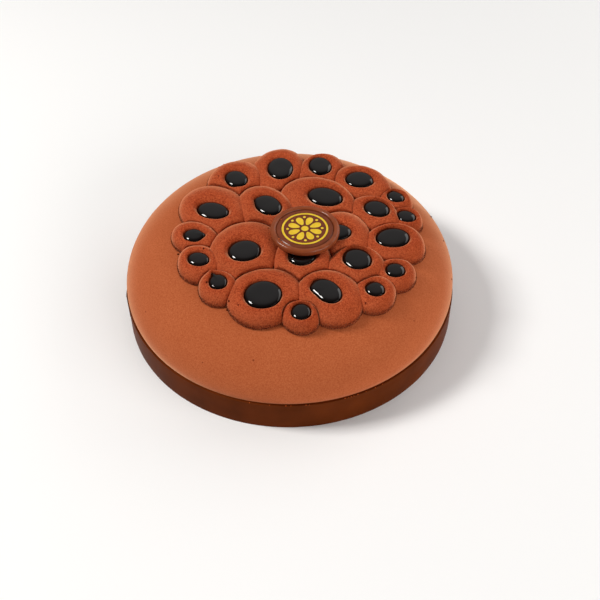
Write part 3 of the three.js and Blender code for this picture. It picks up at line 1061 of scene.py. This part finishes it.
# the print on the medallion: a plain rosette inside a ring, yellow on a dark edge
motifValues = {
    "petals": 8,
    "petalFrom": 2.9,
    "petalTo": 9.0,
    "petalHalfWidth": 1.75,
    "middleRadius": 1.9,
    "beadReach": 8.9,
    "beadRadius": 0.75,
    "ringInside": 10.9,
    "ringOutside": 12.0,
    "darkEdge": 0.35,
    "darkHeight": 0.07,
    "paleHeight": 0.14,
    "softEdge": 0.05,
}
printLook = {
    "cloudScale": 400.0,
    "fineScale": 2600.0,
    "bumpStrength": 0.2,
    "roughness": 0.42,
    "roughnessSpread": 0.1,
    "specular": 0.3,
}
yellowPrint = chocolateMaterial("yellow cocoa butter print", {
    **printLook, "dark": linear(222, 182, 36), "pale": linear(236, 200, 52)})
maroonPrint = chocolateMaterial("maroon cocoa butter print", {
    **printLook, "dark": linear(78, 26, 24), "pale": linear(90, 32, 28)})


def plate(centre, outline, low, high):
    # a thin plate with a soft upper edge, its outline given about its own centre
    x, y = centre
    soft = motifValues["softEdge"]
    rings = []
    for inset, height in ((soft, high), (0.0, high - soft), (0.0, low)):
        shrunk = outline * (1 - inset / np.hypot(outline[:, 0], outline[:, 1]))[:, None]
        rings.append(np.column_stack([shrunk[:, 0] + x, shrunk[:, 1] + y, np.full(len(outline), height)]))
    return bodyFromRings((x, y, high), rings, (x, y, low))


def roundOutline(radius, steps=28):
    angles = anglesAround(steps)
    return np.column_stack([radius * np.cos(angles), radius * np.sin(angles)])


def petalOutline(halfLength, halfWidth, turn, steps=40):
    # an egg shape, wider towards the outside of the rosette
    angles = anglesAround(steps)
    along = halfLength * np.cos(angles)
    across = halfWidth * np.sin(angles) * (1 + 0.3 * np.cos(angles))
    return np.column_stack([along * math.cos(turn) - across * math.sin(turn),
                            along * math.sin(turn) + across * math.cos(turn)])


def flatRing(inside, outside, low, high, steps=96):
    soft = motifValues["softEdge"]
    section = [(inside, low), (outside, low), (outside, high - soft), (outside - soft, high),
               (inside + soft, high), (inside, high - soft)]
    return bandFromRings([ringAt(reach, height, anglesAround(steps)) for reach, height in section])


def printParts(grow, low, high):
    v = motifValues
    halfLength = (v["petalTo"] - v["petalFrom"]) / 2
    reach = (v["petalTo"] + v["petalFrom"]) / 2
    parts = [plate((0, 0), roundOutline(v["middleRadius"] + grow), low, high),
             flatRing(v["ringInside"] - grow, v["ringOutside"] + grow, low, high)]
    for i in range(v["petals"]):
        turn = (i + 0.5) / v["petals"] * 2 * math.pi
        centre = (reach * math.cos(turn), reach * math.sin(turn))
        petal = petalOutline(halfLength + grow, v["petalHalfWidth"] + grow, turn)
        parts.append(plate(centre, petal, low, high))
        turn = i / v["petals"] * 2 * math.pi
        centre = (v["beadReach"] * math.cos(turn), v["beadReach"] * math.sin(turn))
        parts.append(plate(centre, roundOutline(v["beadRadius"] + grow), low, high))
    return parts


def makePrint():
    v = motifValues
    floor = medallionValues["thickness"] - medallionValues["recess"]
    for name, grow, height, look in (("print_dark", v["darkEdge"], v["darkHeight"], maroonPrint),
                                     ("print_yellow", 0.0, v["paleHeight"], yellowPrint)):
        points, faces = joined(printParts(grow, floor - v["softEdge"], floor + height))
        piece = meshPiece("medallion_" + name, onMedallion(points), faces, look)
        shadeSmooth(piece, 40)
        finishPiece(piece, "milk_chocolate")


makePrint()


# crumbs of cocoa that lie where they fell: place from above and size, in millimetres
crumbValues = {
    "dark": [
        (80.1, 25.7, 0.8), (85.0, 7.8, 0.6), (87.1, -15.5, 0.6), (-44.0, -19.6, 0.75),
        (-41.6, -43.3, 0.9), (-58.1, -14.8, 0.8), (-30.5, -53.6, 0.9), (-31.6, -54.6, 0.8),
        (-38.2, -45.2, 0.45), (-41.0, -20.5, 0.4),
    ],
    "orange": [
        (-10.9, -5.3, 0.7), (-9.9, -10.7, 0.6), (-10.7, -15.7, 0.5), (-10.6, 3.9, 0.7),
        (-9.5, 3.1, 0.5), (-3.9, -5.2, 0.5), (-5.2, -20.9, 0.6), (-3.8, -23.2, 0.5),
        (19.5, -27.9, 0.5), (-8.0, -20.6, 0.5), (-38.0, 47.2, 0.6), (-35.4, 49.0, 0.5),
    ],
    # angle round the strip's upper edge and size
    "onStrip": [
        (-92.4, 0.55), (-90.8, 0.4), (-86.0, 0.5), (-84.9, 0.35), (-73.3, 0.5), (-72.1, 0.4), (-71.2, 0.5),
        (-70.3, 0.45), (-68.9, 0.55), (-66.0, 0.35), (-62.6, 0.5), (-59.8, 0.4), (-97.5, 0.35), (-104.0, 0.4),
    ],
    "stripReach": 89.9,
    "roughness": 0.45,
    "roughSize": 1.7,
    "halfSize": 0.6,
    "lift": 0.25,
    "steps": 9,
    "rows": 5,
}
crumbLook = {**stripLook, "bumpStrength": 0.6}
darkCrumb = chocolateMaterial("dark cocoa crumb", {
    **crumbLook, "dark": linear(66, 22, 10), "pale": linear(92, 34, 16), "roughness": 0.8})
orangeCrumb = chocolateMaterial("cocoa butter crumb", {
    **crumbLook, "dark": linear(170, 72, 30), "pale": linear(208, 104, 52), "roughness": 0.7})


def crumbBody(place, size, seed):
    # a small lump, rough all over
    v = crumbValues
    rings = []
    for row in range(1, v["rows"] + 1):
        down = math.pi * row / (v["rows"] + 1)
        ring = []
        for step in range(v["steps"]):
            around = 2 * math.pi * step / v["steps"]
            out = math.sin(down)
            way = Vector((out * math.cos(around), out * math.sin(around), math.cos(down)))
            rough = 1 + v["roughness"] * noise.noise(way * v["roughSize"] + Vector((seed * 3.1, 0.4, 1.9)))
            ring.append(Vector(place) + way * size * rough * v["halfSize"])
        rings.append(np.array([list(point) for point in ring]))
    x, y, z = place
    return bodyFromRings((x, y, z + v["halfSize"] * size), rings, (x, y, z - v["halfSize"] * size))


def groundAt(x, y):
    # the highest surface of the finished pieces over a place
    start, down = Vector((x, y, 100)) * millimetre, Vector((0, 0, -1))
    hits = [piece.ray_cast(start, down) for piece in (dome, strip, mounds, pools, medallion)]
    return max(hit[1].z for hit in hits if hit[0]) / millimetre


def onStripEdge(angle, size):
    reach, turn = crumbValues["stripReach"], math.radians(angle)
    return reach * math.cos(turn), reach * math.sin(turn), size


def makeCrumbs(name, places, material):
    bodies = [crumbBody((x, y, groundAt(x, y) + crumbValues["lift"] * size), size, seed)
              for seed, (x, y, size) in enumerate(places)]
    points, faces = joined(bodies)
    crumbs = meshPiece(name, points, faces, material)
    shadeSmooth(crumbs, 30)
    finishPiece(crumbs, "mound_velvet")


makeCrumbs("crumbs_dark", crumbValues["dark"], darkCrumb)
stripCrumbs = [onStripEdge(angle, size) for angle, size in crumbValues["onStrip"]]
makeCrumbs("crumbs_orange", crumbValues["orange"] + stripCrumbs, orangeCrumb)


# floor, lights and camera
floorValues = {
    "halfSide": 3000,
    "colour": (0.95, 0.95, 0.95, 1),
    "roughness": 0.9,
    "specular": 0.1,
}


def makeFloor():
    v = floorValues
    side = v["halfSide"]
    material, tree, shader = newMaterial("pale floor")
    fillInputs(tree, shader, {
        "Base Color": v["colour"],
        "Roughness": v["roughness"],
        "Specular IOR Level": v["specular"],
    })
    corners = [(-side, -side, 0), (side, -side, 0), (side, side, 0), (-side, side, 0)]
    meshPiece("floor", corners, [(0, 1, 2, 3)], material)


makeFloor()

# each lamp: where it stands in metres, its two sides in metres, its power in watts, its colour
lamps = {
    "key": {"place": (-0.786, 0.024, 0.906), "size": (0.3, 0.3), "power": 10.5, "colour": (1.0, 0.98, 0.95)},
    "right": {"place": (0.78, 0.44, 0.45), "size": (1.0, 0.6), "power": 3.1, "colour": (1.0, 0.98, 0.96)},
    "front": {"place": (0.787, -0.787, 0.45), "size": (1.2, 0.5), "power": 8.4, "colour": (1.0, 0.98, 0.96)},
}
lampsAimAt = Vector((0, 0, 0.04))


def makeLamp(name, values):
    data = bpy.data.lights.new(name, "AREA")
    data.shape = "RECTANGLE"
    data.size, data.size_y = values["size"]
    data.energy = values["power"]
    data.color = values["colour"]
    lamp = bpy.data.objects.new(name, data)
    lamp.location = values["place"]
    towards = lampsAimAt - Vector(values["place"])
    lamp.rotation_euler = towards.to_track_quat("-Z", "Y").to_euler()
    scene.collection.objects.link(lamp)


for lampName, lampSettings in lamps.items():
    makeLamp(lampName, lampSettings)

roomValues = {
    "brightestTowards": (0.0, 0.69, 0.72),
    "glow": [(0.6, 0.08), (0.82, 0.14), (0.94, 0.4), (1.0, 0.46)],
}


def makeWorld():
    # a pale room that is brightest above and behind the cake and dim towards the front
    world = bpy.data.worlds.new("studio")
    world.use_nodes = True
    scene.world = world
    tree = world.node_tree
    background = next(node for node in tree.nodes if node.type == "BACKGROUND")
    direction = addNode(tree, "ShaderNodeTexCoord").outputs["Generated"]
    inputs = {0: direction, 1: roomValues["brightestTowards"]}
    towards = addNode(tree, "ShaderNodeVectorMath", inputs, operation="DOT_PRODUCT")
    share = mathNode(tree, "MULTIPLY_ADD", towards.outputs["Value"], 0.5, 0.5)
    glow = ramp(tree, share, [(place, (grey, grey, grey, 1)) for place, grey in roomValues["glow"]])
    fillInputs(tree, background, {"Color": glow})


makeWorld()
scene.view_settings.view_transform = "Standard"

cameraValues = {
    "place": (-0.0016, -0.39265, 0.41300),
    "elevation": 46.38,
    "yaw": -0.7104,
    "pitch": -0.1432,
    "roll": -1.41,
    "lens": 60.0,
}


def makeCamera():
    v = cameraValues
    data = bpy.data.cameras.new("camera")
    data.lens = v["lens"]
    data.sensor_width = 36.0
    data.clip_start = 0.01
    camera = bpy.data.objects.new("camera", data)
    scene.collection.objects.link(camera)
    turn = Matrix.Rotation(math.radians(90 - v["elevation"]), 4, "X")
    turn = turn @ Matrix.Rotation(math.radians(v["yaw"]), 4, "Y")
    turn = turn @ Matrix.Rotation(math.radians(v["pitch"]), 4, "X")
    turn = turn @ Matrix.Rotation(math.radians(v["roll"]), 4, "Z")
    camera.matrix_world = Matrix.Translation(v["place"]) @ turn
    scene.camera = camera


makeCamera()
print("lights and camera ready")
